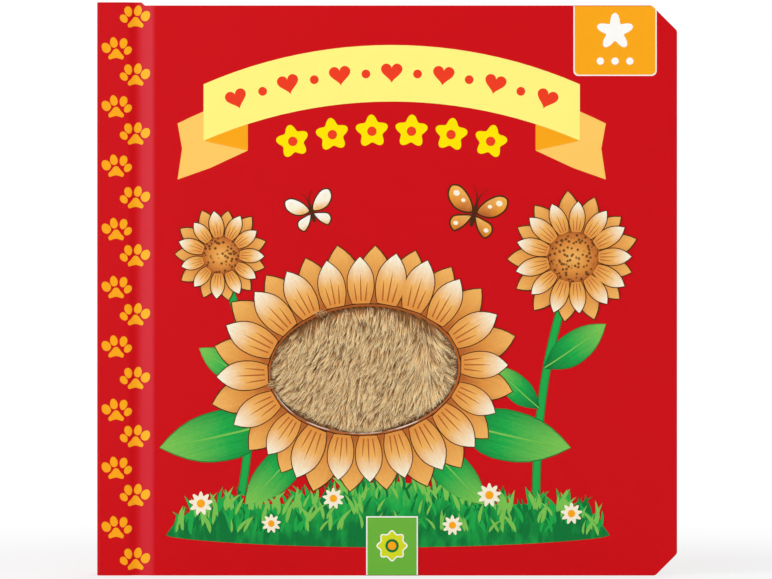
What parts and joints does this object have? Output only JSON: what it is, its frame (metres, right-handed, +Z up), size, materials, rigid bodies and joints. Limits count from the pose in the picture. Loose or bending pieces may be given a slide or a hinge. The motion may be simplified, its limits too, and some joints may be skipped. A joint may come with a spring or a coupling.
{
  "type": "board book",
  "caption": "Square touch-and-feel board book with clipped corners, creased cover hinges that open and an oval window showing a faux-fur patch.",
  "frame": {"origin": "middle of the tail edge, in the plane the book stands on", "axes": "+Z up from tail to head, +X from the spine to the fore-edge, +Y from the front cover to the back cover"},
  "size_m": [0.173, 0.0178, 0.1709],
  "materials": {
    "cover_print": "satin",
    "page_board": "satin",
    "faux_fur": "matte"
  },
  "bodies": {
    "pages": {"spine_wrap": "cover_print", "page_block": "page_board"},
    "front_cover": {"front_cover_board": "cover_print", "front_liner_board": "page_board", "fur_patch": "faux_fur"},
    "back_cover": {"back_cover_board": "cover_print"}
  },
  "joints": [
    {"name": "front_cover_hinge", "type": "hinge", "parent": "pages", "child": "front_cover", "pos_m": [-0.0749, -0.0091, 0.085], "axis": [0, 0, -1], "range_deg": [0, 175]},
    {"name": "back_cover_hinge", "type": "hinge", "parent": "pages", "child": "back_cover", "pos_m": [-0.0749, 0.0091, 0.085], "axis": [0, 0, 1], "range_deg": [0, 175]}
  ]
}
